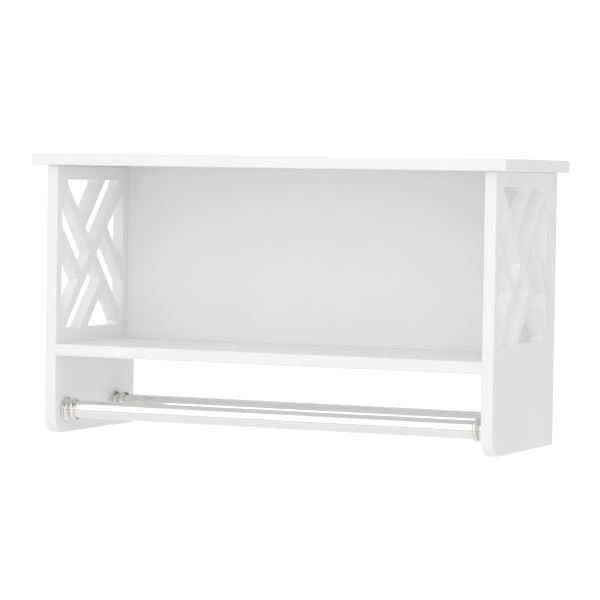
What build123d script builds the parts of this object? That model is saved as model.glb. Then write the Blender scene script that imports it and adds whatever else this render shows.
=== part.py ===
"""Wall shelf: a top board on two lattice side panels, a back panel, a lower shelf and two towel rods.

Millimetres. +X is to the right, +Y is towards the wall, +Z is up.
The origin is the centre of the top board's rear edge, halfway up its thickness, on the wall's face.
"""

from build123d import *
from math import atan2, degrees, hypot, radians, sin
import os

# Boards
top_length = 686.0
top_depth = 246.0
overall_height = 382.0
top_thickness = 16.0
side_thickness = 16.0
shelf_thickness = 16.0
back_thickness = 16.0
side_overhang = 17.0  # the top board past each side panel's outer face
front_setback = 14.5  # side panels' front edges behind the top board's front edge
upper_height = 243.5  # clear height between the top board and the lower shelf
shelf_setback = 1.0  # lower shelf behind the side panels' front edges
wall_gap = 9.0  # space behind the back panel for the wall hangers
toe_radius = 26.0  # side panels' bottom front corners
corner_radius = 2.0  # side panels' other corners
edge_radius = 1.6  # eased edges of the painted boards
joint_radius = 0.4  # eased edges inside a joint

# Lattice in the side panels
lattice_side_frame = 15.0
lattice_end_frame = 19.5
lattice_bar = 15.5
lattice_pitch = 48.0  # from a diagonal to the short bar beside it
lattice_corner = 3.5
lattice_edge_radius = 0.8

# Towel rods and the sockets that hold them
rod_diameter = 24.0
rod_wall = 1.0
rod_from_front = 31.0
rod_spacing = 144.0
rod_above_bottom = 32.5
rod_fit = 0.1  # radial running clearance
rod_end_play = 0.5  # at each end
socket_floor = 11.5  # from the side panel to the bottom of the socket
socket_depth = 8.0
socket_lip_wall = 1.1
socket_bead_rise = 3.6  # over the bore
socket_bead_length = 6.5
socket_lip_length = 1.5
socket_neck_rise = -1.0  # the neck is behind the bore, and narrower
socket_flange_rise = 4.4
socket_flange_thickness = 2.8

# Cam locks, cam bolts and dowels
cam_diameter = 15.0
cam_cover = 3.0  # board left over the blind end of a cam's pocket
cam_setback = 24.0  # from the joint to the cam's centre
cam_slot = 7.4
cam_bolt_head = 6.4
cam_bolt_shank = 4.6
cam_bolt_thread = 6.0
cam_bolt_grip = 11.0  # thread's length in the board
cam_recess = 7.5
cam_recess_depth = 1.8
bolt_passage = 7.4
dowel_diameter = 8.0
dowel_chamfer = 1.0
dowel_in_edge = 18.0
dowel_in_face = 11.0
top_dowel_in_side = 12.0
shelf_cam_from_front = 40.0
shelf_cam_from_back = 45.0
shelf_dowel_inset = 34.0  # from each cam, towards the shelf's middle
back_cam_from_ends = 42.0
back_top_cam_spacing = 300.0
back_top_dowel_spacing = 460.0
top_dowel_from_front = 126.5  # behind the side panels' front edges, over a short bar of the lattice
top_dowel_from_rear = 10.0

# Screws
screw_diameter = 4.0
screw_head = 8.0
screw_head_depth = 2.6
screw_recess = 4.4
screw_recess_depth = 1.4
screw_fit = 0.05  # radial clearance round a screw's thread and its head
screw_shank_fit = 0.25  # radial clearance round a shank
socket_screw_length = 19.0
top_screw_length = 42.0
top_screw_from_front = 8.0  # down the middle of the front stile
top_screw_from_rear = 31.0
back_screw_length = 36.0
back_screw_spacing = 200.0
hanger_screw_length = 14.0
cap_diameter = 12.0
cap_thickness = 2.0
cap_bevel = 0.4

# Wall hangers
hanger_spacing = 406.0
hanger_drop = 50.0  # keyhole's round part below the top board
hanger_width = 26.0
hanger_height = 44.0
hanger_foot = 15.0  # each foot past the raised face
hanger_sheet = 1.5
hanger_wall_clearance = 1.5  # between the hanger's face and the wall
keyhole_radius = 5.0
keyhole_slot = 4.6
keyhole_rise = 9.0
hanger_corner = 0.5

hole_fit = 0.1  # radial clearance of dowels, cams and caps
hole_end_fit = 1.0  # room past the end of a dowel, bolt or screw

# Places worked out from the sizes above
top_upper_z = top_thickness / 2
top_under_z = -top_thickness / 2
side_outer_x = top_length / 2 - side_overhang
side_inner_x = side_outer_x - side_thickness
side_middle_x = side_outer_x - side_thickness / 2
side_front_y = front_setback - top_depth
side_bottom_z = top_upper_z - overall_height
shelf_front_y = side_front_y + shelf_setback
shelf_top_z = top_under_z - upper_height
shelf_under_z = shelf_top_z - shelf_thickness
shelf_middle_z = shelf_top_z - shelf_thickness / 2
back_rear_y = -wall_gap
back_front_y = back_rear_y - back_thickness
back_middle_y = back_rear_y - back_thickness / 2
window_front_y = side_front_y + lattice_side_frame
window_rear_y = back_front_y - lattice_side_frame
window_top_z = top_under_z - lattice_end_frame
window_bottom_z = shelf_top_z + lattice_end_frame
rod_radius = rod_diameter / 2
rod_z = side_bottom_z + rod_above_bottom
rod_ys = {"front": side_front_y + rod_from_front, "rear": side_front_y + rod_from_front + rod_spacing}
rod_half_length = side_inner_x - socket_floor - rod_end_play
bore_radius = rod_radius + rod_fit
socket_mouth = socket_floor + socket_depth
shelf_cam_ys = (shelf_front_y + shelf_cam_from_front, back_front_y - shelf_cam_from_back)
shelf_dowel_ys = (shelf_cam_ys[0] + shelf_dowel_inset, shelf_cam_ys[1] - shelf_dowel_inset)
back_cam_zs = (top_under_z - back_cam_from_ends, shelf_top_z + back_cam_from_ends)
back_dowel_z = (top_under_z + shelf_top_z) / 2
top_dowel_ys = (side_front_y + top_dowel_from_front, -top_dowel_from_rear)
top_screw_ys = (side_front_y + top_screw_from_front, -top_screw_from_rear)
top_screw_head_z = top_upper_z - cap_thickness
hanger_z = top_under_z - hanger_drop
hanger_face_y = -hanger_wall_clearance

sides = {"left": -1, "right": 1}
to_right = Vector(1, 0, 0)
to_wall = Vector(0, 1, 0)
up = Vector(0, 0, 1)


# Plain shapes

def bar(start, direction, length, radius):
    """A round bar from a point, along a direction."""
    cylinder = Cylinder(radius, length, align=(Align.CENTER, Align.CENTER, Align.MIN))
    return Plane(origin=start, z_dir=direction) * cylinder


def turned(start, direction, profile):
    """A turned piece, from its closed outline in (radius, distance along the axis)."""
    return Plane(origin=start, z_dir=direction) * revolve(Plane.XZ * profile, Axis.Z)


def outline(*points):
    """A straight-sided outline in (radius, distance along the axis)."""
    return make_face(Polyline(*points, close=True))


def block(x_range, y_range, z_range):
    ranges = (x_range, y_range, z_range)
    lengths = [high - low for low, high in ranges]
    middle = [(high + low) / 2 for low, high in ranges]
    return Pos(*middle) * Box(*lengths)


def without(piece, tools):
    """The piece with each hole or pocket cut out of it."""
    for tool in tools:
        piece = piece - tool
    return piece


def cross_recess(centre, outward, size, depth):
    """The driver's recess in a head: outward points out of the head."""
    align = (Align.CENTER, Align.CENTER, Align.MAX)
    arms = Box(size, size / 4, depth, align=align) + Box(size / 4, size, depth, align=align)
    return Plane(origin=centre, z_dir=outward) * arms


# Countersunk screws: head is the centre of the flat top, way is the direction of driving

def screw(head, way, length):
    radius = screw_diameter / 2
    profile = outline(
        (0, 0),
        (screw_head / 2, 0),
        (radius, screw_head_depth),
        (radius, length - screw_diameter),
        (0, length),
    )
    return turned(head, way, profile) - cross_recess(head, -way, screw_recess, screw_recess_depth)


def screw_clearance(head, way, through):
    """The countersunk hole in the piece that a screw holds down."""
    shank = screw_diameter / 2 + screw_shank_fit
    rim = screw_head / 2 + screw_fit
    slope = screw_head_depth / (screw_head - screw_diameter) * 2
    profile = outline(
        (0, 0),
        (rim, 0),
        (shank, (rim - shank) * slope),
        (shank, through + hole_end_fit),
        (0, through + hole_end_fit),
    )
    return turned(head, way, profile)


def screw_pilot(head, way, length):
    """The hole that a screw's thread fills in the piece that it grips."""
    return bar(head, way, length + hole_end_fit, screw_diameter / 2 + screw_fit)


# Cam joints and dowel joints: joint is a point on the face where two boards meet,
# and way points out of that face into the board that butts against it

def cam_bolt(joint, way):
    thread = cam_bolt_thread / 2
    shank = cam_bolt_shank / 2
    head = cam_bolt_head / 2
    profile = outline(
        (0, -cam_bolt_grip),
        (shank, -cam_bolt_grip),
        (thread, thread - shank - cam_bolt_grip),
        (thread, 0),
        (shank, 0),
        (shank, cam_setback - head),
        (head, cam_setback - shank),
        (head, cam_setback),
        (0, cam_setback),
    )
    return turned(joint, way, profile)


def cam_bolt_hole(joint, way):
    return bar(joint, -way, cam_bolt_grip + hole_end_fit, cam_bolt_thread / 2 + hole_fit)


def cam_bolt_passage(joint, way):
    return bar(joint, way, cam_setback, bolt_passage / 2)


def cam_pocket(mouth, outward, thickness):
    """The cam's blind pocket: mouth is its centre on the board's face."""
    return bar(mouth, -outward, thickness - cam_cover, cam_diameter / 2)


def cam_lock(joint, way, mouth, outward, thickness):
    disc = bar(mouth, -outward, thickness - cam_cover - hole_end_fit, cam_diameter / 2 - hole_fit)
    slot = bar(joint, way, cam_setback + hole_end_fit, cam_slot / 2)
    return disc - slot - cross_recess(mouth, outward, cam_recess, cam_recess_depth)


def cam_mouth(joint, way, outward, face):
    """The centre of a cam's pocket on the board's face, which lies at the level face."""
    centre = joint + way * cam_setback
    return centre + outward * (face - centre.dot(outward))


def dowel(joint, way, back, forward):
    """A dowel that reaches back into one board and forward into the other."""
    radius = dowel_diameter / 2
    profile = outline(
        (0, -back),
        (radius - dowel_chamfer, -back),
        (radius, dowel_chamfer - back),
        (radius, forward - dowel_chamfer),
        (radius - dowel_chamfer, forward),
        (0, forward),
    )
    return turned(joint, way, profile)


def dowel_hole(joint, way, back, forward):
    start = joint - way * (back + hole_end_fit)
    return bar(start, way, back + forward + 2 * hole_end_fit, dowel_diameter / 2 + hole_fit)


# Where the fasteners go

def at_side(side, ys, z):
    """Joints on a side panel's inner face, each with the way into the board between the sides."""
    s = sides[side]
    return [(Vector(s * side_inner_x, y, z), to_right * -s) for y in ys]


def shelf_cam_joints(side):
    return at_side(side, shelf_cam_ys, shelf_middle_z)


def shelf_dowel_joints(side):
    return at_side(side, shelf_dowel_ys, shelf_middle_z)


def back_cam_joints(side):
    return [joint for z in back_cam_zs for joint in at_side(side, [back_middle_y], z)]


def back_dowel_joints(side):
    return at_side(side, [back_middle_y], back_dowel_z)


def under_top(spacing):
    """Joints between the top board and the back panel's top edge."""
    return [(Vector(s * spacing / 2, back_middle_y, top_under_z), -up) for s in sides.values()]


def top_dowel_joints(side):
    return [(Vector(sides[side] * side_middle_x, y, top_under_z), -up) for y in top_dowel_ys]


def top_screw_heads(side):
    return [Vector(sides[side] * side_middle_x, y, top_screw_head_z) for y in top_screw_ys]


def socket_screw_heads(side):
    return [Vector(sides[side] * (side_inner_x - socket_floor), y, rod_z) for y in rod_ys.values()]


def back_screw_heads():
    return [Vector(x, back_middle_y, shelf_under_z) for x in (-back_screw_spacing, 0, back_screw_spacing)]


def hanger_screw_heads(side):
    middle = sides[side] * hanger_spacing / 2
    reach = (hanger_width + hanger_foot) / 2
    return [Vector(middle + s * reach, back_rear_y + hanger_sheet, hanger_z) for s in (-1, 1)]


def both_sides(places):
    """A list of places for the left and then the right."""
    return [place for side in sides for place in places(side)]


# Boards

def top_board():
    blank = block((-top_length / 2, top_length / 2), (-top_depth, 0), (top_under_z, top_upper_z))
    blank = fillet(blank.edges(), edge_radius)
    tools = [cam_bolt_hole(joint, way) for joint, way in under_top(back_top_cam_spacing)]
    for joint, way in under_top(back_top_dowel_spacing):
        tools.append(dowel_hole(joint, way, dowel_in_face, dowel_in_edge))
    for joint, way in both_sides(top_dowel_joints):
        tools.append(dowel_hole(joint, way, dowel_in_face, top_dowel_in_side))
    for head in both_sides(top_screw_heads):
        tools.append(screw_clearance(head, -up, top_thickness))
        tools.append(bar(head, up, cap_thickness + hole_end_fit, cap_diameter / 2 + hole_fit))
    return without(blank, tools)


def lattice_openings():
    """The openings between the lattice's bars, seen along X: (y, z) in the window's plane."""
    width = window_rear_y - window_front_y
    height = window_top_z - window_bottom_z
    rise = degrees(atan2(height, width))
    step = lattice_pitch / sin(radians(2 * rise))
    strip = Rectangle(hypot(width, height), lattice_bar, align=(Align.MIN, Align.CENTER))
    openings = Sketch() + Rectangle(width, height)
    for turn in (0, 180):
        for foot_angle, bar_angle in ((180 - rise, rise), (rise, -rise)):
            foot = Vector(step, 0).rotate(Axis.Z, foot_angle + turn)
            openings -= Rot(0, 0, bar_angle + turn) * strip  # from corner to corner
            openings -= Pos(foot) * Rot(0, 0, bar_angle + turn) * strip  # a short bar beside it
    openings = fillet(openings.vertices(), lattice_corner)
    return Pos((window_rear_y + window_front_y) / 2, (window_top_z + window_bottom_z) / 2) * openings


def side_panel(side):
    """A side panel with its lattice window and round toe."""
    s = sides[side]
    face = Rectangle(-side_front_y, top_under_z - side_bottom_z)
    face = Pos(side_front_y / 2, (top_under_z + side_bottom_z) / 2) * face
    toe = face.vertices().sort_by(Axis.X)[:2].sort_by(Axis.Y)[0]
    corners = [corner for corner in face.vertices() if corner != toe]
    face = fillet(corners, corner_radius)
    toe = face.vertices().sort_by(lambda v: v.X + v.Y)[0]
    face = fillet(toe, toe_radius)
    middle = Plane(origin=(s * side_middle_x, 0, 0), x_dir=(0, 1, 0), z_dir=(1, 0, 0))
    panel = extrude(middle * face, side_thickness / 2, both=True)
    panel = fillet(face_rims(panel), edge_radius)
    panel = panel - extrude(middle * lattice_openings(), side_thickness, both=True)
    panel = fillet(window_rims(panel), lattice_edge_radius)
    tools = [cam_bolt_hole(joint, way) for joint, way in shelf_cam_joints(side) + back_cam_joints(side)]
    for joint, way in shelf_dowel_joints(side) + back_dowel_joints(side):
        tools.append(dowel_hole(joint, way, dowel_in_face, dowel_in_edge))
    for joint, way in top_dowel_joints(side):
        tools.append(dowel_hole(joint, way, dowel_in_face, top_dowel_in_side))
    for head in top_screw_heads(side):
        tools.append(screw_pilot(head, -up, top_screw_length))
    for head in socket_screw_heads(side):
        tools.append(screw_pilot(head, to_right * s, socket_screw_length))
    return without(panel, tools)


def wide_faces(panel):
    """A side panel's inner and outer faces."""
    return panel.faces().filter_by(Axis.X).sort_by(SortBy.AREA)[-2:]


def face_rims(panel):
    return [edge for face in wide_faces(panel) for edge in face.outer_wire().edges()]


def window_rims(panel):
    return [edge for face in wide_faces(panel) for wire in face.inner_wires() for edge in wire.edges()]


def lower_shelf():
    blank = block((-side_inner_x, side_inner_x), (shelf_front_y, back_rear_y), (shelf_under_z, shelf_top_z))
    blank = fillet(blank.edges().filter_by(Axis.X), edge_radius)
    tools = []
    for joint, way in both_sides(shelf_cam_joints):
        tools.append(cam_bolt_passage(joint, way))
        tools.append(cam_pocket(cam_mouth(joint, way, -up, -shelf_under_z), -up, shelf_thickness))
    for joint, way in both_sides(shelf_dowel_joints):
        tools.append(dowel_hole(joint, way, dowel_in_face, dowel_in_edge))
    for head in back_screw_heads():
        tools.append(screw_clearance(head, up, shelf_thickness))
    return without(blank, tools)


def back_panel():
    blank = block((-side_inner_x, side_inner_x), (back_front_y, back_rear_y), (shelf_top_z, top_under_z))
    blank = fillet(blank.edges(), joint_radius)
    tools = []
    for joint, way in both_sides(back_cam_joints) + under_top(back_top_cam_spacing):
        tools.append(cam_bolt_passage(joint, way))
        tools.append(cam_pocket(cam_mouth(joint, way, to_wall, back_rear_y), to_wall, back_thickness))
    for joint, way in both_sides(back_dowel_joints) + under_top(back_top_dowel_spacing):
        tools.append(dowel_hole(joint, way, dowel_in_face, dowel_in_edge))
    for head in back_screw_heads():
        tools.append(screw_pilot(head, up, back_screw_length))
    for head in both_sides(hanger_screw_heads):
        tools.append(screw_pilot(head, -to_wall, hanger_screw_length))
        tools.append(screw_clearance(head, -to_wall, screw_head_depth))
    return without(blank, tools)


# Towel rods

def towel_rod(y):
    start = Vector(-rod_half_length, y, rod_z)
    tube = bar(start, to_right, 2 * rod_half_length, rod_radius)
    return tube - bar(start, to_right, 2 * rod_half_length, rod_radius - rod_wall)


def socket_outline():
    """Half of a socket's section: flange, cove, bead, lip and blind bore."""
    flange = bore_radius + socket_flange_rise
    neck = bore_radius + socket_neck_rise
    bead = bore_radius + socket_bead_rise
    lip = bore_radius + socket_lip_wall
    bead_end = socket_mouth - socket_lip_length
    bead_start = bead_end - socket_bead_length
    rim = socket_flange_thickness / 2
    shoulder = bead - socket_bead_length / 4
    cove_bottom = (socket_flange_thickness + bead_start) / 2
    edges = Line((0, 0), (flange - rim, 0))
    edges += ThreePointArc((flange - rim, 0), (flange, rim), (flange - rim, socket_flange_thickness))
    edges += ThreePointArc(
        (flange - rim, socket_flange_thickness),
        (neck, cove_bottom),
        (shoulder, bead_start),
    )
    edges += ThreePointArc(
        (shoulder, bead_start),
        (bead, (bead_start + bead_end) / 2),
        (shoulder, bead_end),
    )
    edges += Polyline(
        (shoulder, bead_end),
        (lip, bead_end),
        (lip, socket_mouth),
        (bore_radius, socket_mouth),
        (bore_radius, socket_floor),
        (0, socket_floor),
        (0, 0),
    )
    return make_face(edges)


def rod_socket(side, y):
    s = sides[side]
    body = turned(Vector(s * side_inner_x, y, rod_z), to_right * -s, socket_outline())
    head = Vector(s * (side_inner_x - socket_floor), y, rod_z)
    return body - screw_clearance(head, to_right * s, socket_floor)


# Wall hangers

def wall_hanger(side):
    """A keyhole hanger of folded sheet, screwed to the back panel by its two feet."""
    standoff = hanger_face_y - back_rear_y
    section = Pos(0, hanger_face_y - hanger_sheet / 2) * Rectangle(hanger_width, hanger_sheet)
    for s in (-1, 1):
        web_x = s * (hanger_width - hanger_sheet) / 2
        foot_x = s * (hanger_width + hanger_foot - hanger_sheet) / 2
        section += Pos(web_x, back_rear_y + standoff / 2) * Rectangle(hanger_sheet, standoff)
        foot = Rectangle(hanger_foot + hanger_sheet, hanger_sheet)
        section += Pos(foot_x, back_rear_y + hanger_sheet / 2) * foot
    section = fillet(section.vertices(), hanger_corner)
    middle = Pos(sides[side] * hanger_spacing / 2, 0, hanger_z)
    plate = middle * extrude(section, hanger_height / 2, both=True)
    keyhole = Circle(keyhole_radius) + Pos(0, keyhole_rise) * Circle(keyhole_slot / 2)
    keyhole += Pos(0, keyhole_rise / 2) * Rectangle(keyhole_slot, keyhole_rise)
    opening = extrude(Plane.XZ * keyhole, hanger_sheet + hole_end_fit, both=True)
    tools = [screw_clearance(head, -to_wall, hanger_sheet) for head in hanger_screw_heads(side)]
    tools.append(middle * Pos(0, hanger_face_y, 0) * opening)
    return without(plate, tools)


# Groups of fasteners

def shelf_cam_locks():
    locks = []
    for joint, way in both_sides(shelf_cam_joints):
        mouth = cam_mouth(joint, way, -up, -shelf_under_z)
        locks.append(cam_lock(joint, way, mouth, -up, shelf_thickness))
    return locks


def back_cam_locks():
    locks = []
    for joint, way in both_sides(back_cam_joints) + under_top(back_top_cam_spacing):
        mouth = cam_mouth(joint, way, to_wall, back_rear_y)
        locks.append(cam_lock(joint, way, mouth, to_wall, back_thickness))
    return locks


def cam_bolts(joints):
    return [cam_bolt(joint, way) for joint, way in joints]


def dowels(joints, back, forward):
    return [dowel(joint, way, back, forward) for joint, way in joints]


def screw_caps():
    """Flush caps over the top board's screws, with a bevelled rim."""
    radius = cap_diameter / 2
    profile = outline(
        (0, 0),
        (radius, 0),
        (radius, cap_thickness - cap_bevel),
        (radius - cap_bevel, cap_thickness),
        (0, cap_thickness),
    )
    return [turned(head, up, profile) for head in both_sides(top_screw_heads)]


def socket_screws():
    screws = []
    for side, s in sides.items():
        for head in socket_screw_heads(side):
            screws.append(screw(head, to_right * s, socket_screw_length))
    return screws


def nodes():
    """Every node's name with its piece or its list of pieces."""
    shelf_cams = both_sides(shelf_cam_joints)
    back_cams = both_sides(back_cam_joints) + under_top(back_top_cam_spacing)
    back_dowels = both_sides(back_dowel_joints) + under_top(back_top_dowel_spacing)
    named = {
        "top_board": top_board(),
        "lower_shelf": lower_shelf(),
        "back_panel": back_panel(),
        "shelf_cam_bolts": cam_bolts(shelf_cams),
        "shelf_cam_locks": shelf_cam_locks(),
        "shelf_dowels": dowels(both_sides(shelf_dowel_joints), dowel_in_face, dowel_in_edge),
        "back_cam_bolts": cam_bolts(back_cams),
        "back_cam_locks": back_cam_locks(),
        "back_dowels": dowels(back_dowels, dowel_in_face, dowel_in_edge),
        "back_panel_screws": [screw(head, up, back_screw_length) for head in back_screw_heads()],
        "top_dowels": dowels(both_sides(top_dowel_joints), dowel_in_face, top_dowel_in_side),
        "top_screws": [screw(head, -up, top_screw_length) for head in both_sides(top_screw_heads)],
        "top_screw_caps": screw_caps(),
        "rod_socket_screws": socket_screws(),
        "wall_hanger_screws": [
            screw(head, -to_wall, hanger_screw_length) for head in both_sides(hanger_screw_heads)
        ],
    }
    for side in sides:
        named[side + "_side_panel"] = side_panel(side)
        named[side + "_wall_hanger"] = wall_hanger(side)
        for place, y in rod_ys.items():
            named[place + "_" + side + "_rod_socket"] = rod_socket(side, y)
    for place, y in rod_ys.items():
        named[place + "_towel_rod"] = towel_rod(y)
    return named


os.makedirs("parts", exist_ok=True)
for name, piece in nodes().items():
    if isinstance(piece, list):
        piece = Compound(children=[part.solid() for part in piece])
    export_step(piece, "parts/" + name + ".step")
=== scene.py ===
import math
import random
import bmesh
import bpy
from mathutils import Matrix, Vector


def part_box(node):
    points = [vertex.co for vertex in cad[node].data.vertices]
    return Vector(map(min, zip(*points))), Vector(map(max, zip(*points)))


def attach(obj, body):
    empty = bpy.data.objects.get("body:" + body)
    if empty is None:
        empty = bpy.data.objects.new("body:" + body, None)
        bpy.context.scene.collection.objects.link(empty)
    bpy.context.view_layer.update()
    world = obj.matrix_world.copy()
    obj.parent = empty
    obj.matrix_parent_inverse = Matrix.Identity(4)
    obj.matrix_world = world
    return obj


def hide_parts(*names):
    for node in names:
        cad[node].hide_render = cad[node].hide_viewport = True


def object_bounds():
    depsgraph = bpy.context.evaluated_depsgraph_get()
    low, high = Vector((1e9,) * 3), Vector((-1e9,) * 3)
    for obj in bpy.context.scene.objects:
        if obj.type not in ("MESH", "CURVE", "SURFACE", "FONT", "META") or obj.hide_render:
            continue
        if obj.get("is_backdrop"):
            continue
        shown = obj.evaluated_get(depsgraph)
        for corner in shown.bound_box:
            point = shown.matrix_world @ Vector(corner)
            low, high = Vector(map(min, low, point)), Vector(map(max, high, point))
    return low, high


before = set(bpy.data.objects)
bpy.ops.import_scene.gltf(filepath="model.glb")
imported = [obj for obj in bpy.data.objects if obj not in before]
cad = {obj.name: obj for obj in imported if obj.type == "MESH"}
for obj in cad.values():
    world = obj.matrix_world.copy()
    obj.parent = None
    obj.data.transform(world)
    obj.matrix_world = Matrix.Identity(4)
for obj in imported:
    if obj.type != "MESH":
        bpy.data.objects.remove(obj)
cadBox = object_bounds()
mm = 0.001


# Camera, floor and light

cameraValues = {
    "place": (1.658, -3.770, -0.020),
    "turn": 24.38,  # degrees to the left of straight on
    "down": 2.36,
    "roll": 0.90,
    "lens": 178.0,
}
lightValues = {
    "roomLight": 0.79,  # what falls on the boards from all round
    "backdrop": 1.06,
    "lamps": {  # place, size, power
        "lowSoftbox": ((2.8, -3.7, -0.5), 3.0, 14.0),
        "highSoftbox": ((1.2, -3.4, 2.2), 2.6, 22.0),
        "leftSoftbox": ((-1.6, -4.2, 0.5), 2.2, 5.0),
    },
    "floorDrop": 0.75,  # below the shelf's lowest edge
    "floorRadius": 3.2,
    # greys of the cards by direction, from below (0) to above (1), and so on
    "leftCards": [(0.0, 0.98), (0.40, 1.02), (0.45, 0.70), (0.495, 0.66), (0.52, 1.28), (1.0, 1.30)],
    "rightCards": [
        (0.0, 1.05), (0.41, 1.05), (0.455, 0.10), (0.49, 0.10),
        (0.515, 1.2), (0.58, 1.2), (0.65, 0.22), (1.0, 0.18),
    ],
    "backCards": [(0.0, 1.0), (0.42, 0.94), (0.50, 0.48), (0.62, 0.52), (1.0, 0.70)],
    "leftToRight": [(0.42, 0.0), (0.56, 1.0)],
    "frontToBack": [(0.44, 0.0), (0.56, 1.0)],
}


def placeCamera(values):
    data = bpy.data.cameras.new("camera")
    data.lens = values["lens"]
    data.sensor_width = 36.0
    data.clip_end = 200.0
    camera = bpy.data.objects.new("camera", data)
    bpy.context.scene.collection.objects.link(camera)
    turn = Matrix.Rotation(math.radians(values["turn"]), 4, "Z")
    tip = Matrix.Rotation(math.radians(90 - values["down"]), 4, "X")
    roll = Matrix.Rotation(math.radians(values["roll"]), 4, "Z")
    camera.matrix_world = Matrix.Translation(values["place"]) @ turn @ tip @ roll
    bpy.context.scene.camera = camera


def softbox(name, place, target, size, power):
    data = bpy.data.lights.new(name, "AREA")
    data.shape = "SQUARE"
    data.size = size
    data.energy = power
    lamp = bpy.data.objects.new(name, data)
    bpy.context.scene.collection.objects.link(lamp)
    aim = Vector(target) - Vector(place)
    lamp.matrix_world = Matrix.Translation(place) @ aim.to_track_quat("-Z", "Y").to_matrix().to_4x4()


def greyRamp(tree, value, stops):
    # grey by a direction's height or side, from -1 to 1
    spread = tree.nodes.new("ShaderNodeMapRange")
    spread.inputs["From Min"].default_value = -1.0
    ramp = tree.nodes.new("ShaderNodeValToRGB")
    while len(ramp.color_ramp.elements) < len(stops):
        ramp.color_ramp.elements.new(0.5)
    for element, (where, grey) in zip(ramp.color_ramp.elements, stops):
        element.position = where
        element.color = (grey, grey, grey, 1)
    tree.links.new(value, spread.inputs["Value"])
    tree.links.new(spread.outputs["Result"], ramp.inputs["Fac"])
    return ramp.outputs["Color"]


def mixed(tree, factor, first, second, blend="MIX"):
    mix = tree.nodes.new("ShaderNodeMix")
    mix.data_type = "RGBA"
    mix.blend_type = blend
    for socket, value in (("Factor", factor), ("A", first), ("B", second)):
        if isinstance(value, bpy.types.NodeSocket):
            tree.links.new(value, mix.inputs[socket])
        elif socket == "Factor":
            mix.inputs[0].default_value = value
        else:
            mix.inputs[socket].default_value = (value, value, value, 1)
    return mix.outputs["Result"]


def studioWorld(values):
    # even white light, with darker cards at the sides that only the plated metal shows
    world = bpy.data.worlds.new("studio")
    bpy.context.scene.world = world
    world.use_nodes = True
    tree = world.node_tree
    rays = tree.nodes.new("ShaderNodeLightPath")
    place = tree.nodes.new("ShaderNodeTexCoord")
    split = tree.nodes.new("ShaderNodeSeparateXYZ")
    tree.links.new(place.outputs["Generated"], split.inputs[0])
    left = greyRamp(tree, split.outputs["Z"], values["leftCards"])
    right = greyRamp(tree, split.outputs["Z"], values["rightCards"])
    cards = mixed(tree, greyRamp(tree, split.outputs["X"], values["leftToRight"]), left, right)
    behind = greyRamp(tree, split.outputs["Z"], values["backCards"])
    shade = mixed(tree, greyRamp(tree, split.outputs["Y"], values["frontToBack"]), 1.0, behind)
    cards = mixed(tree, 1.0, cards, shade, "MULTIPLY")
    light = mixed(tree, rays.outputs["Is Glossy Ray"], values["roomLight"], cards)
    seen = mixed(tree, rays.outputs["Is Camera Ray"], light, values["backdrop"])
    tree.links.new(seen, tree.nodes["Background"].inputs["Color"])


def makeFloor(values):
    form = bmesh.new()
    level = cadBox[0][2] - values["floorDrop"]
    bmesh.ops.create_circle(form, cap_ends=True, segments=96, radius=values["floorRadius"])
    bmesh.ops.translate(form, verts=form.verts, vec=(0, 0, level))
    mesh = bpy.data.meshes.new("floor")
    form.to_mesh(mesh)
    form.free()
    floor = bpy.data.objects.new("floor", mesh)
    bpy.context.scene.collection.objects.link(floor)
    mesh.materials.append(floorMaterial())
    floor.visible_glossy = False  # the plated metal shows the studio's cards instead
    floor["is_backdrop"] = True


# Materials

def newMaterial(name):
    material = bpy.data.materials.new(name)
    material.use_nodes = True
    tree = material.node_tree
    shader = tree.nodes["Principled BSDF"]
    place = tree.nodes.new("ShaderNodeTexCoord")
    return material, tree, shader, place.outputs["Object"]


def stretched(tree, place, scale):
    mapping = tree.nodes.new("ShaderNodeMapping")
    mapping.inputs["Scale"].default_value = scale
    tree.links.new(place, mapping.inputs["Vector"])
    return mapping.outputs["Vector"]


def noise(tree, place, scale, detail=3.0, rough=0.5):
    texture = tree.nodes.new("ShaderNodeTexNoise")
    texture.inputs["Scale"].default_value = scale
    texture.inputs["Detail"].default_value = detail
    texture.inputs["Roughness"].default_value = rough
    tree.links.new(place, texture.inputs["Vector"])
    return texture.outputs["Fac"]


def between(tree, factor, low, high, start=0.3, end=0.7):
    spread = tree.nodes.new("ShaderNodeMapRange")
    spread.inputs["From Min"].default_value = start
    spread.inputs["From Max"].default_value = end
    spread.inputs["To Min"].default_value = low
    spread.inputs["To Max"].default_value = high
    tree.links.new(factor, spread.inputs["Value"])
    return spread.outputs["Result"]


def twoColours(tree, factor, first, second):
    mix = tree.nodes.new("ShaderNodeMix")
    mix.data_type = "RGBA"
    mix.inputs["A"].default_value = (*first, 1)
    mix.inputs["B"].default_value = (*second, 1)
    tree.links.new(factor, mix.inputs["Factor"])
    return mix.outputs["Result"]


def bump(tree, height, strength, distance, under=None):
    node = tree.nodes.new("ShaderNodeBump")
    node.inputs["Strength"].default_value = strength
    node.inputs["Distance"].default_value = distance
    tree.links.new(height, node.inputs["Height"])
    if under:
        tree.links.new(under, node.inputs["Normal"])
    return node.outputs["Normal"]


def floorMaterial():
    material, tree, shader, place = newMaterial("paleFloor")
    tone = between(tree, noise(tree, place, 3.0), 0, 1)
    colour = twoColours(tree, tone, (0.96, 0.96, 0.96), (0.98, 0.98, 0.98))
    tree.links.new(colour, shader.inputs["Base Color"])
    shader.inputs["Roughness"].default_value = 0.9
    shader.inputs["Specular IOR Level"].default_value = 0.1
    return material


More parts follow.
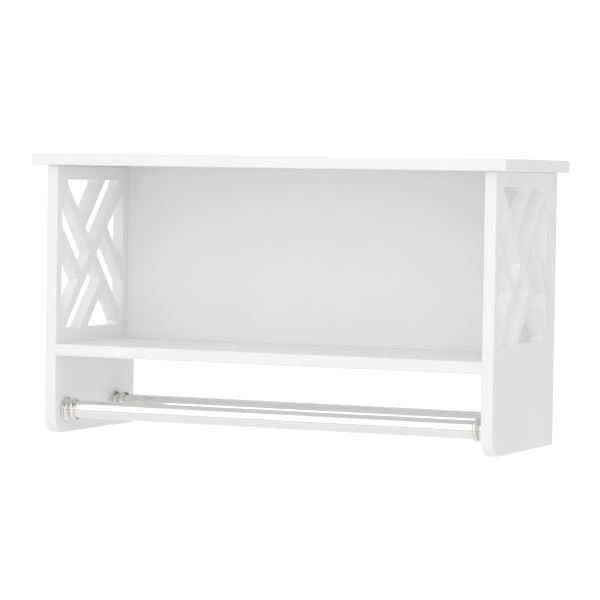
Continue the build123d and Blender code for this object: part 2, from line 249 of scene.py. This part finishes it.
def paintMaterial():
    # sprayed white paint over fibreboard: fine peel, slow waviness, slightly uneven gloss
    material, tree, shader, place = newMaterial("whitePaint")
    tone = between(tree, noise(tree, place, 9.0, 4.0), 0, 1)
    colour = twoColours(tree, tone, (0.920, 0.920, 0.918), (0.942, 0.941, 0.938))
    tree.links.new(colour, shader.inputs["Base Color"])
    peel = bump(tree, noise(tree, place, 850.0, 2.0), 0.10, 0.00025)
    wave = bump(tree, noise(tree, place, 60.0, 2.0), 0.08, 0.0008, peel)
    tree.links.new(wave, shader.inputs["Normal"])
    tree.links.new(between(tree, noise(tree, place, 35.0), 0.34, 0.44), shader.inputs["Roughness"])
    shader.inputs["Specular IOR Level"].default_value = 0.45
    return material


def nickelMaterial(name, low, high):
    # bright nickel plate with the faint rings left by polishing on a lathe
    material, tree, shader, place = newMaterial(name)
    rings = noise(tree, stretched(tree, place, (2600, 40, 40)), 1.0, 3.0)
    colour = twoColours(tree, between(tree, rings, 0, 1), low, high)
    tree.links.new(colour, shader.inputs["Base Color"])
    shader.inputs["Metallic"].default_value = 1.0
    haze = noise(tree, place, 40.0, 4.0)
    tree.links.new(between(tree, haze, 0.10, 0.17), shader.inputs["Roughness"])
    tree.links.new(bump(tree, rings, 0.02, 0.00002), shader.inputs["Normal"])
    return material


def zincMaterial(name, low, high, scale):
    # plated or cast zinc: mottled, faintly grained
    material, tree, shader, place = newMaterial(name)
    mottle = noise(tree, place, scale, 5.0, 0.6)
    colour = twoColours(tree, between(tree, mottle, 0, 1), low, high)
    tree.links.new(colour, shader.inputs["Base Color"])
    shader.inputs["Metallic"].default_value = 1.0
    tree.links.new(between(tree, mottle, 0.30, 0.48), shader.inputs["Roughness"])
    tree.links.new(bump(tree, noise(tree, place, scale * 6, 3.0), 0.25, 0.0001), shader.inputs["Normal"])
    return material


def beechMaterial():
    # the grain runs along each dowel, by the attribute that it is made with
    material, tree, shader, place = newMaterial("beech")
    grain = tree.nodes.new("ShaderNodeAttribute")
    grain.attribute_name = "grain"
    pores = noise(tree, stretched(tree, grain.outputs["Vector"], (900, 900, 200)), 1.0, 3.0)
    colour = twoColours(tree, between(tree, pores, 0, 1), (0.50, 0.33, 0.18), (0.68, 0.48, 0.29))
    tree.links.new(colour, shader.inputs["Base Color"])
    shader.inputs["Roughness"].default_value = 0.62
    tree.links.new(bump(tree, pores, 0.3, 0.0002), shader.inputs["Normal"])
    return material


def capMaterial():
    material, tree, shader, place = newMaterial("whitePlastic")
    tone = between(tree, noise(tree, place, 120.0), 0, 1)
    colour = twoColours(tree, tone, (0.84, 0.84, 0.835), (0.87, 0.87, 0.865))
    tree.links.new(colour, shader.inputs["Base Color"])
    tree.links.new(between(tree, noise(tree, place, 300.0), 0.42, 0.52), shader.inputs["Roughness"])
    tree.links.new(bump(tree, noise(tree, place, 2400.0, 2.0), 0.12, 0.0001), shader.inputs["Normal"])
    return material


def dress(names, material):
    for name in names:
        mesh = cad[name].data
        mesh.materials.clear()
        mesh.materials.append(material)


# Turned metal: rods and sockets

def lathe(name, points, start, way, steps, material, smoothAngle=35):
    # points are (radius, distance along the axis), from one pole or rim round to the other
    mesh = bpy.data.meshes.new(name)
    spin = Vector(way).to_track_quat("Z", "Y").to_matrix()
    form = bmesh.new()
    rings = []
    for radius, along in points:
        count = 1 if radius == 0 else steps
        ring = []
        for i in range(count):
            angle = 2 * math.pi * i / steps
            local = Vector((radius * math.cos(angle), radius * math.sin(angle), along))
            ring.append(form.verts.new(Vector(start) + spin @ local))
        rings.append(ring)
    for first, second in zip(rings, rings[1:]):
        for i in range(steps):
            j = (i + 1) % steps
            corners = [first[i % len(first)], first[j % len(first)]]
            corners += [second[j % len(second)], second[i % len(second)]]
            unique = list(dict.fromkeys(corners))  # a pole stands twice in its faces
            if len(unique) > 2:
                form.faces.new(unique)
    if len(rings[0]) > 1 and len(rings[-1]) > 1:  # a closed section, such as a tube's
        for i in range(steps):
            j = (i + 1) % steps
            form.faces.new([rings[-1][i], rings[-1][j], rings[0][j], rings[0][i]])
    bmesh.ops.recalc_face_normals(form, faces=form.faces)
    form.to_mesh(mesh)
    form.free()
    mesh.materials.append(material)
    mesh.shade_smooth()
    mesh.set_sharp_from_angle(angle=math.radians(smoothAngle))
    piece = bpy.data.objects.new(name, mesh)
    bpy.context.scene.collection.objects.link(piece)
    return piece


def arc(centre, radius, start, end, steps):
    # points round part of a circle, with angles in degrees
    cx, cy = centre
    points = []
    for i in range(steps + 1):
        angle = math.radians(start + (end - start) * i / steps)
        points.append((cx + radius * math.cos(angle), cy + radius * math.sin(angle)))
    return points


rodValues = {"wall": 1.0 * mm, "endRound": 0.35 * mm, "steps": 128, "rings": 24}


def towelRod(place, values, material):
    node = place + "_towel_rod"
    low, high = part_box(node)
    radius = (high.z - low.z) / 2
    centre = (low + high) / 2
    inner = radius - values["wall"]
    soft = values["endRound"]
    length = high.x - low.x
    points = [(inner, soft), (inner + soft, 0), (radius - soft, 0)]
    points += arc((radius - soft, soft), soft, -90, 0, 4)[1:]
    points += [(radius, length * i / values["rings"]) for i in range(1, values["rings"])]
    points += arc((radius - soft, length - soft), soft, 0, 90, 4)
    points += [(inner + soft, length), (inner, length - soft)]
    rod = lathe(place + "TowelRod", points, (low.x, centre.y, centre.z), (1, 0, 0), values["steps"], material)
    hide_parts(node)
    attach(rod, place + "_rod")


socketValues = {
    "flangeThickness": 2.8 * mm,
    "neckRadius": 11.1 * mm,
    "beadRadius": 15.7 * mm,
    "beadLength": 6.5 * mm,
    "lipRadius": 13.2 * mm,
    "lipLength": 1.5 * mm,
    "lipEase": 0.3 * mm,
    "boreRadius": 12.1 * mm,
    "boreEase": 0.2 * mm,
    "floor": 11.5 * mm,
    "screwHole": 4.05 * mm,
    "shankHole": 2.25 * mm,
    "screwSlope": 1.3,  # depth of the countersink for each millimetre of its width
    "curveSteps": 12,
    "steps": 96,
}


def socketPoints(values, flange, mouth):
    rim = values["flangeThickness"] / 2
    shoulder = flange - rim
    points = [(values["shankHole"], 0)]
    points += arc((shoulder, rim), rim, -90, 90, 10)
    lip, lipEase = values["lipRadius"], values["lipEase"]
    bore, boreEase = values["boreRadius"], values["boreEase"]
    count = values["curveSteps"]
    beadEnd = mouth - values["lipLength"]
    beadStart = beadEnd - values["beadLength"]
    swell = values["beadLength"] / 4  # how far the bead stands over its own edges
    beadEdge = values["beadRadius"] - swell
    coveLength = beadStart - values["flangeThickness"]
    for i in range(1, count):  # the cove between flange and bead
        part = i / count
        top = shoulder if part < 0.5 else beadEdge
        curve = 1 - math.sqrt(1 - abs(2 * part - 1) ** 2)
        radius = values["neckRadius"] + (top - values["neckRadius"]) * curve
        points.append((radius, values["flangeThickness"] + coveLength * part))
    for i in range(count + 1):
        part = i / count
        points.append((beadEdge + swell * math.sin(math.pi * part), beadStart + values["beadLength"] * part))
    points += [(lip, beadEnd), (lip, mouth - lipEase), (lip - lipEase, mouth)]
    points += [(bore + boreEase, mouth), (bore, mouth - boreEase), (bore, values["floor"])]
    points.append((values["screwHole"], values["floor"]))
    sink = (values["screwHole"] - values["shankHole"]) * values["screwSlope"]
    points.append((values["shankHole"], values["floor"] - sink))
    return points


def rodSocket(place, side, values, material):
    node = place + "_" + side + "_rod_socket"
    low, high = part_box(node)
    centre = (low + high) / 2
    way = 1 if side == "left" else -1
    start = (low.x if side == "left" else high.x, centre.y, centre.z)
    points = socketPoints(values, (high.z - low.z) / 2, high.x - low.x)
    socket = lathe(place + side.title() + "RodSocket", points, start, (way, 0, 0), values["steps"], material)
    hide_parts(node)
    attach(socket, "frame")


# Fasteners: shapes that repeat, made by node trees from a turned blank and a list of places

def add(tree, kind, inputs=(), **settings):
    # a node with its settings; each input is a value or another node's output
    made = tree.nodes.new(kind)
    for name, value in settings.items():
        setattr(made, name, value)
    for socket, value in dict(inputs).items():
        if isinstance(value, bpy.types.NodeSocket):
            tree.links.new(value, made.inputs[socket])
        else:
            made.inputs[socket].default_value = value
    return made


def calc(tree, operation, *values):
    return add(tree, "ShaderNodeMath", enumerate(values), operation=operation).outputs[0]


def vector(tree, *values):
    return add(tree, "ShaderNodeCombineXYZ", enumerate(values)).outputs[0]


def share(tree, value, start, end):
    # from 0 at the start to 1 at the end, and level outside them
    inputs = {"Value": value, "From Min": start, "From Max": end}
    return add(tree, "ShaderNodeMapRange", inputs).outputs["Result"]


def newTree(name, inputs):
    tree = bpy.data.node_groups.new(name, "GeometryNodeTree")
    sockets = [("Places", "Geometry"), *inputs, ("Material", "Material")]
    for label, kind in sockets:
        tree.interface.new_socket(label, in_out="INPUT", socket_type="NodeSocket" + kind)
    tree.interface.new_socket("Pieces", in_out="OUTPUT", socket_type="NodeSocketGeometry")
    return tree, add(tree, "NodeGroupInput").outputs


def atPlaces(tree, given, shape):
    # a copy at each place, its Z along the place's way and its X towards the place's side
    axes = {}
    for socket, name in (("Primary Axis", "way"), ("Secondary Axis", "side")):
        kept = add(tree, "GeometryNodeInputNamedAttribute", {"Name": name}, data_type="FLOAT_VECTOR")
        axes[socket] = kept.outputs[0]
    turn = add(tree, "FunctionNodeAxesToRotation", axes, primary_axis="Z", secondary_axis="X").outputs[0]
    points = add(tree, "GeometryNodeMeshToPoints", {"Mesh": given["Places"]}).outputs[0]
    copies = {"Points": points, "Instance": shape, "Rotation": turn}
    pieces = add(tree, "GeometryNodeInstanceOnPoints", copies).outputs[0]
    real = add(tree, "GeometryNodeRealizeInstances", {0: pieces}).outputs[0]
    finish = {"Geometry": real, "Material": given["Material"]}
    add(tree, "NodeGroupOutput", {"Pieces": add(tree, "GeometryNodeSetMaterial", finish).outputs[0]})


recessValues = {"barWidth": 0.24}  # as a share of the recess's size


def crossCutter(tree, size, depth):
    # two crossed bars that cut the driver's recess, as far out of the head as into it
    deep = calc(tree, "MULTIPLY", depth, 2.0)
    thin = calc(tree, "MULTIPLY", size, recessValues["barWidth"])
    bars = []
    for width, height in ((size, thin), (thin, size)):
        cube = add(tree, "GeometryNodeMeshCube", {"Size": vector(tree, width, height, deep)}).outputs[0]
        bars.append(cube)
    return bars


def cutAway(tree, shape, cutters):
    cut = add(tree, "GeometryNodeMeshBoolean", {"Mesh 1": shape}, operation="DIFFERENCE", solver="EXACT")
    for cutter in cutters:
        tree.links.new(cutter, cut.inputs["Mesh 2"])
    return cut.outputs["Mesh"]


threadValues = {
    "columns": 24,  # round the thread
    "rows": 6,  # along one turn of it
    "spareTurns": 3,  # they close the ends
}


def threadShape(tree, given, values):
    # one sheet wound into a helix, so that its rows follow the crest; its ends shrink to points
    rows = values["rows"]
    length = calc(tree, "SUBTRACT", given["Thread End"], given["Thread Start"])
    turns = calc(tree, "CEIL", calc(tree, "DIVIDE", length, given["Pitch"]))
    turns = calc(tree, "ADD", turns, float(values["spareTurns"]))
    down = calc(tree, "MULTIPLY", turns, float(rows))
    size = {"Size X": 1.0, "Size Y": 1.0, "Vertices X": values["columns"] + 1}
    size["Vertices Y"] = calc(tree, "ADD", down, 1.0)
    sheet = add(tree, "GeometryNodeMeshGrid", size).outputs["Mesh"]
    spot = add(tree, "ShaderNodeSeparateXYZ", {0: add(tree, "GeometryNodeInputPosition").outputs[0]}).outputs
    around = calc(tree, "ADD", spot["X"], 0.5)
    row = calc(tree, "ROUND", calc(tree, "MULTIPLY", calc(tree, "ADD", spot["Y"], 0.5), down))
    turn = calc(tree, "SUBTRACT", calc(tree, "ADD", calc(tree, "DIVIDE", row, float(rows)), around), 2.0)
    along = calc(tree, "ADD", calc(tree, "MULTIPLY", turn, given["Pitch"]), given["Thread Start"])
    crest = calc(tree, "LESS_THAN", calc(tree, "MODULO", row, float(rows)), 0.5)
    runIn = calc(tree, "ADD", given["Thread Start"], given["Run-in"])
    crest = calc(tree, "MULTIPLY", crest, share(tree, along, runIn, calc(tree, "ADD", runIn, given["Pitch"])))
    depth = calc(tree, "SUBTRACT", given["Crest Radius"], given["Root Radius"])
    radius = calc(tree, "ADD", given["Root Radius"], calc(tree, "MULTIPLY", depth, crest))
    tip = share(tree, along, given["Thread End"], calc(tree, "SUBTRACT", given["Thread End"], given["Point"]))
    whole = calc(tree, "SUBTRACT", 1.0, given["Tip Share"])
    blunt = calc(tree, "MULTIPLY_ADD", tip, whole, given["Tip Share"])
    startEdge = calc(tree, "SUBTRACT", given["Thread Start"], given["Pitch"])
    endEdge = calc(tree, "ADD", given["Thread End"], given["Pitch"])
    opened = share(tree, along, startEdge, given["Thread Start"])
    closed = share(tree, along, endEdge, given["Thread End"])
    for factor in (blunt, opened, closed):
        radius = calc(tree, "MULTIPLY", radius, factor)
    level = calc(tree, "MINIMUM", calc(tree, "MAXIMUM", along, given["Thread Start"]), given["Thread End"])
    angle = calc(tree, "MULTIPLY", around, 2 * math.pi)
    across = [calc(tree, "MULTIPLY", radius, calc(tree, part, angle)) for part in ("COSINE", "SINE")]
    wound = vector(tree, *across, level)
    helix = add(tree, "GeometryNodeSetPosition", {"Geometry": sheet, "Position": wound}).outputs[0]
    joined = {"Geometry": helix, "Distance": 0.002 * mm}
    return add(tree, "GeometryNodeMergeByDistance", joined).outputs[0]


def threadedTree():
    # a turned blank with a thread wound on it and a recess in its head
    numbers = ["Thread Start", "Thread End", "Pitch", "Root Radius", "Crest Radius", "Run-in", "Point"]
    numbers += ["Tip Share", "Recess Size", "Recess Depth"]
    inputs = [("Blank", "Object")] + [(name, "Float") for name in numbers]
    tree, given = newTree("threadedFasteners", inputs)
    blank = add(tree, "GeometryNodeObjectInfo", {"Object": given["Blank"]}).outputs["Geometry"]
    whole = add(tree, "GeometryNodeMeshBoolean", operation="UNION", solver="EXACT")
    for shape in (blank, threadShape(tree, given, threadValues)):
        tree.links.new(shape, whole.inputs["Mesh 2"])
    cutters = crossCutter(tree, given["Recess Size"], given["Recess Depth"])
    atPlaces(tree, given, cutAway(tree, whole.outputs["Mesh"], cutters))
    return tree


def dowelTree():
    # a grooved circle swept along a line whose four points make the chamfers
    lengths = ("Length", "Radius", "Chamfer", "Flute Depth")
    tree, given = newTree("flutedDowels", [(name, "Float") for name in lengths] + [("Flutes", "Int")])
    circle = {"Resolution": calc(tree, "MULTIPLY", given["Flutes"], 4.0), "Radius": given["Radius"]}
    circle = add(tree, "GeometryNodeCurvePrimitiveCircle", circle).outputs[0]
    index = add(tree, "GeometryNodeInputIndex").outputs[0]
    groove = calc(tree, "LESS_THAN", calc(tree, "MODULO", index, 4.0), 0.5)
    inward = calc(tree, "MULTIPLY", groove, calc(tree, "DIVIDE", given["Flute Depth"], given["Radius"]))
    place = add(tree, "GeometryNodeInputPosition").outputs[0]
    scale = calc(tree, "SUBTRACT", 1.0, inward)
    fluted = add(tree, "ShaderNodeVectorMath", {0: place, "Scale": scale}, operation="SCALE").outputs[0]
    section = add(tree, "GeometryNodeSetPosition", {"Geometry": circle, "Position": fluted}).outputs[0]
    line = add(tree, "GeometryNodeCurvePrimitiveLine").outputs[0]
    line = add(tree, "GeometryNodeResampleCurve", {"Curve": line, "Count": 4}, mode="COUNT").outputs[0]
    body = calc(tree, "SUBTRACT", given["Length"], calc(tree, "MULTIPLY", given["Chamfer"], 2.0))
    along = 0.0
    for corner, step in ((0.5, given["Chamfer"]), (1.5, body), (2.5, given["Chamfer"])):
        along = calc(tree, "MULTIPLY_ADD", calc(tree, "GREATER_THAN", index, corner), step, along)
    path = {"Geometry": line, "Position": vector(tree, 0.0, 0.0, along)}
    line = add(tree, "GeometryNodeSetPosition", path).outputs[0]
    ends = calc(tree, "GREATER_THAN", calc(tree, "ABSOLUTE", calc(tree, "SUBTRACT", index, 1.5)), 1.0)
    narrow = calc(tree, "MULTIPLY", ends, calc(tree, "DIVIDE", given["Chamfer"], given["Radius"]))
    sweep = {"Curve": line, "Profile Curve": section, "Fill Caps": True}
    sweep["Scale"] = calc(tree, "SUBTRACT", 1.0, narrow)
    shape = add(tree, "GeometryNodeCurveToMesh", sweep)
    grain = {"Geometry": shape.outputs[0], "Name": "grain", "Value": place}
    kept = add(tree, "GeometryNodeStoreNamedAttribute", grain, data_type="FLOAT_VECTOR", domain="POINT")
    atPlaces(tree, given, kept.outputs[0])
    return tree


def camTree():
    # a turned disc with a recess and a mark in its face, and a slot in its side for the bolt's ball
    lengths = ["Recess Size", "Recess Depth", "Slot Radius", "Slot Start", "Slot End", "Slot Level"]
    lengths += ["Mark Size", "Mark Place", "Mark Depth"]
    tree, given = newTree("camLocks", [("Blank", "Object")] + [(name, "Float") for name in lengths])
    blank = add(tree, "GeometryNodeObjectInfo", {"Object": given["Blank"]}).outputs["Geometry"]
    cutters = crossCutter(tree, given["Recess Size"], given["Recess Depth"])
    reach = calc(tree, "ADD", given["Slot End"], given["Slot Start"])
    slot = {"Vertices": 32, "Radius": given["Slot Radius"], "Depth": reach}
    slot = add(tree, "GeometryNodeMeshCylinder", slot).outputs["Mesh"]
    middle = calc(tree, "SUBTRACT", calc(tree, "MULTIPLY", reach, 0.5), given["Slot End"])
    level = calc(tree, "MULTIPLY", given["Slot Level"], -1.0)
    lying = {"Geometry": slot, "Translation": vector(tree, middle, 0.0, level)}
    lying["Rotation"] = (0, math.pi / 2, 0)
    cutters.append(add(tree, "GeometryNodeTransform", lying).outputs[0])
    mark = {"Vertices": 3, "Radius": given["Mark Size"]}
    mark["Depth"] = calc(tree, "MULTIPLY", given["Mark Depth"], 2.0)
    mark = add(tree, "GeometryNodeMeshCylinder", mark).outputs["Mesh"]
    moved = {"Geometry": mark, "Translation": vector(tree, given["Mark Place"], 0.0, 0.0)}
    cutters.append(add(tree, "GeometryNodeTransform", moved).outputs[0])
    atPlaces(tree, given, cutAway(tree, blank, cutters))
    return tree

# Where the fasteners go, from the frame

chance = random.Random(11)  # how far round each fastener ended up


def solidBoxes(node):
    # the box round each loose solid of a CAD node, from a merged copy of its mesh
    form = bmesh.new()
    form.from_mesh(cad[node].data)
    bmesh.ops.remove_doubles(form, verts=form.verts, dist=0.001 * mm)
    boxes = []
    seen = set()
    for first in form.verts:
        if first in seen:
            continue
        seen.add(first)
        waiting = [first]
        island = []
        while waiting:
            vert = waiting.pop()
            island.append(vert.co.copy())
            for edge in vert.link_edges:
                other = edge.other_vert(vert)
                if other not in seen:
                    seen.add(other)
                    waiting.append(other)
        corners = [Vector(pick(co[axis] for co in island) for axis in range(3)) for pick in (min, max)]
        boxes.append(corners)
    form.free()
    return boxes


def fastenerPlaces(node, upright):
    # each one's head, the way in from it and a side; a level one's head is towards the middle,
    # and upright is 1 where the others' heads are at the high end, and -1 where they are at the low end
    places = []
    for low, high in solidBoxes(node):
        span = high - low
        axis = max(range(3), key=lambda i: span[i])
        head = (low + high) / 2
        sign = upright
        if axis == 0:
            sign = -1 if head.x > 0 else 1
        head[axis] += sign * span[axis] / 2
        way = Vector((0, 0, 0))
        way[axis] = -sign
        side = Matrix.Rotation(chance.uniform(0, 2 * math.pi), 3, way) @ way.orthogonal().normalized()
        places.append((head, way, side))
    return places


def camPlaces(node, bolts, outward):
    # the middle of each cam's face, out of it, and towards the joint that its bolt comes from
    places = []
    for low, high in solidBoxes(node):
        middle = (low + high) / 2
        face = middle + outward * abs((high - low).dot(outward)) / 2
        nearest = min(bolts, key=lambda bolt: (bolt[0] - middle).length)
        places.append((face, outward, nearest[1]))
    return places


def grow(name, tree, places, sizes, material, node):
    # runs a tree on the places and keeps what it makes as a plain mesh
    mesh = bpy.data.meshes.new(name + "Places")
    mesh.from_pydata([place[0] for place in places], [], [])
    for label, column in (("way", 1), ("side", 2)):
        attribute = mesh.attributes.new(label, "FLOAT_VECTOR", "POINT")
        for item, place in zip(attribute.data, places):
            item.vector = place[column]
    piece = bpy.data.objects.new(name, mesh)
    bpy.context.scene.collection.objects.link(piece)
    modifier = piece.modifiers.new("fasteners", "NODES")
    modifier.node_group = tree
    given = {**sizes, "Material": material}
    for item in tree.interface.items_tree:
        if item.in_out == "INPUT" and item.name in given:
            modifier[item.identifier] = given[item.name]
    evaluated = piece.evaluated_get(bpy.context.evaluated_depsgraph_get())
    plain = bpy.data.meshes.new_from_object(evaluated)
    piece.modifiers.clear()
    piece.data = plain
    plain.set_sharp_from_angle(angle=math.radians(28))  # crests and rims stay crisp
    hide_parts(node)
    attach(piece, "frame")
    print(" ", name, len(plain.polygons), "faces")


screwValues = {
    "headRadius": 3.85 * mm,
    "rim": 0.12 * mm,
    "headDepth": 2.55 * mm,
    "shankRadius": 1.6 * mm,
    "thread": {
        "Pitch": 1.6 * mm,
        "Root Radius": 1.35 * mm,
        "Crest Radius": 1.97 * mm,
        "Run-in": 1.0 * mm,
        "Point": 4.0 * mm,
        "Tip Share": 0.0,
        "Recess Size": 4.4 * mm,
        "Recess Depth": 1.4 * mm,
    },
    # each group's plain shank, from the head's top, and whether its heads are at the high end
    "groups": {
        "rod_socket_screws": (4.0 * mm, 1),
        "wall_hanger_screws": (4.0 * mm, 1),
        "top_screws": (16.0 * mm, 1),
        "back_panel_screws": (17.0 * mm, -1),
    },
}


def camelName(node):
    first, *others = node.split("_")
    return first + "".join(word.title() for word in others)


def countersunkScrews(node, values, tree, material):
    plainEnd, upright = values["groups"][node]
    places = fastenerPlaces(node, upright)
    head = values["headRadius"]
    shank = values["shankRadius"]
    points = [(0, 0), (head - values["rim"], 0), (head, values["rim"]), (shank, values["headDepth"])]
    points += [(shank, plainEnd), (0, plainEnd)]
    blank = lathe("screwBlank", points, (0, 0, 0), (0, 0, 1), 32, material)
    low, high = solidBoxes(node)[0]
    ends = {"Thread Start": plainEnd - values["thread"]["Run-in"], "Thread End": max(high - low)}
    sizes = {**values["thread"], **ends, "Blank": blank}
    grow(camelName(node), tree, places, sizes, material, node)
    bpy.data.objects.remove(blank)


boltValues = {
    "ballRadius": 3.2 * mm,
    "ballCut": 55,  # degrees from the ball's middle to its flat end
    "ease": 0.3 * mm,
    "neckRadius": 1.6 * mm,
    "neckEnd": 7.5 * mm,
    "shankRadius": 2.3 * mm,
    "collarRadius": 2.95 * mm,
    "collarLength": 1.4 * mm,
    "joint": 24.0 * mm,  # from the ball's end to the board that the thread is in
    "thread": {
        "Pitch": 2.2 * mm,
        "Root Radius": 2.05 * mm,
        "Crest Radius": 2.97 * mm,
        "Run-in": 0.5 * mm,
        "Point": 2.5 * mm,
        "Tip Share": 0.72,
        "Recess Size": 2.8 * mm,
        "Recess Depth": 2.0 * mm,
    },
}


def camBolts(node, values, places, tree, material):
    ball, neck, shank = values["ballRadius"], values["neckRadius"], values["shankRadius"]
    collar = values["collarRadius"]
    collarStart = values["joint"] - values["collarLength"]
    slope = shank - neck
    cut = values["ballCut"]
    rounded = arc((0, ball), ball, -cut, cut, 14)
    points = [(0, rounded[0][1])] + rounded
    points += [(neck, rounded[-1][1] + values["ease"]), (neck, values["neckEnd"])]
    points += [(shank, values["neckEnd"] + slope), (shank, collarStart)]
    points += [(collar, collarStart + values["ease"]), (collar, values["joint"]), (0, values["joint"])]
    blank = lathe("boltBlank", points, (0, 0, 0), (0, 0, 1), 32, material)
    low, high = solidBoxes(node)[0]
    ends = {"Thread Start": values["joint"] - values["thread"]["Run-in"], "Thread End": max(high - low)}
    sizes = {**values["thread"], **ends, "Blank": blank}
    grow(camelName(node), tree, places, sizes, material, node)
    bpy.data.objects.remove(blank)


camValues = {
    "radius": 7.38 * mm,
    "thickness": 12.0 * mm,
    "bevel": 0.4 * mm,
    "groove": (6.5 * mm, 5.9 * mm, 0.3 * mm),  # its outer and inner radius, and its depth
    "cuts": {
        "Recess Size": 7.5 * mm,
        "Recess Depth": 1.8 * mm,
        "Slot Radius": 3.7 * mm,
        "Slot Start": 12.0 * mm,  # past the cam's edge
        "Slot End": 1.0 * mm,
        "Mark Size": 0.9 * mm,
        "Mark Place": 4.9 * mm,
        "Mark Depth": 0.4 * mm,
    },
}


def camLocks(node, values, places, tree, material, boardThickness):
    radius, thick, bevel = values["radius"], values["thickness"], values["bevel"]
    outer, inner, deep = values["groove"]
    points = [(0, -thick), (radius - bevel, -thick), (radius, bevel - thick)]
    points += [(radius, -bevel), (radius - bevel, 0), (outer, 0), (outer - deep / 2, -deep)]
    points += [(inner + deep / 2, -deep), (inner, 0), (0, 0)]
    blank = lathe("camBlank", points, (0, 0, 0), (0, 0, 1), 48, material)
    cuts = {**values["cuts"], "Slot Level": boardThickness / 2, "Blank": blank}
    grow(camelName(node), tree, places, cuts, material, node)
    bpy.data.objects.remove(blank)


dowelValues = {"Chamfer": 1.0 * mm, "Flutes": 14, "Flute Depth": 0.35 * mm}


def flutedDowels(node, values, tree, material):
    low, high = solidBoxes(node)[0]
    sizes = {**values, "Length": max(high - low), "Radius": min(high - low) / 2}
    grow(camelName(node), tree, fastenerPlaces(node, 1), sizes, material, node)


print("camera and light")
placeCamera(cameraValues)
studioWorld(lightValues)
makeFloor(lightValues)
for name, (place, size, power) in lightValues["lamps"].items():
    softbox(name, place, (0, 0, -0.2), size, power)
bpy.context.scene.view_settings.view_transform = "Standard"

print("painted boards")
paint = paintMaterial()
dress(["top_board", "left_side_panel", "right_side_panel", "lower_shelf", "back_panel"], paint)

print("rods and sockets")
rodNickel = nickelMaterial("rodNickel", (0.80, 0.79, 0.775), (0.85, 0.84, 0.825))
# the sockets use a darker copy of the rods' nickel: painted shade standing in for the darker reflections on
# them
socketNickel = nickelMaterial("socketNickel", (0.73, 0.71, 0.69), (0.79, 0.77, 0.75))
for place in ("front", "rear"):
    towelRod(place, rodValues, rodNickel)
    for side in ("left", "right"):
        rodSocket(place, side, socketValues, socketNickel)

print("fasteners")
steel = zincMaterial("zincSteel", (0.62, 0.63, 0.64), (0.74, 0.75, 0.76), 420.0)
threaded = threadedTree()
for node in screwValues["groups"]:
    countersunkScrews(node, screwValues, threaded, steel)
castZinc = zincMaterial("castZinc", (0.50, 0.51, 0.53), (0.62, 0.63, 0.65), 300.0)
cams = camTree()
boardLow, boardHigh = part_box("lower_shelf")
for place, outward in (("shelf", Vector((0, 0, -1))), ("back", Vector((0, 1, 0)))):
    bolts = fastenerPlaces(place + "_cam_bolts", -1)
    camBolts(place + "_cam_bolts", boltValues, bolts, threaded, steel)
    locks = camPlaces(place + "_cam_locks", bolts, outward)
    camLocks(place + "_cam_locks", camValues, locks, cams, castZinc, boardHigh.z - boardLow.z)
beech = beechMaterial()
fluted = dowelTree()
for node in ("shelf_dowels", "back_dowels", "top_dowels"):
    flutedDowels(node, dowelValues, fluted, beech)

print("hangers and caps")
dress(["left_wall_hanger", "right_wall_hanger"], steel)
dress(["top_screw_caps"], capMaterial())

size = {"cad": [list(corner) for corner in cadBox], "visual": [list(corner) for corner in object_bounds()]}
